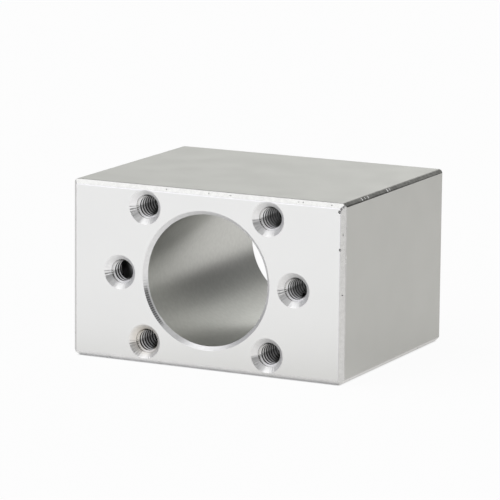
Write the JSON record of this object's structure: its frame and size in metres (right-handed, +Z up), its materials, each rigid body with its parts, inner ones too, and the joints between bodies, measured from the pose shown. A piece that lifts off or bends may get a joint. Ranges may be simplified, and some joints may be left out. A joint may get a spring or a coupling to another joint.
{
  "type": "ball screw nut housing",
  "caption": "Rectangular aluminium block with a through bore for a ball nut, tapped flange holes round the bore and tapped mounting holes in the underside.",
  "frame": {"origin": "middle of the mounting face, which is the underside of the block", "axes": "+X across the block, -Y out of the flange face along the bore's axis, +Z up from the mounting face"},
  "size_m": [0.05, 0.04, 0.03],
  "materials": {
    "machined_aluminium": "satin, fine-milled faces with bright broken edges, clear anodised"
  },
  "bodies": {
    "root": {"nut_housing": "machined_aluminium"}
  },
  "joints": []
}
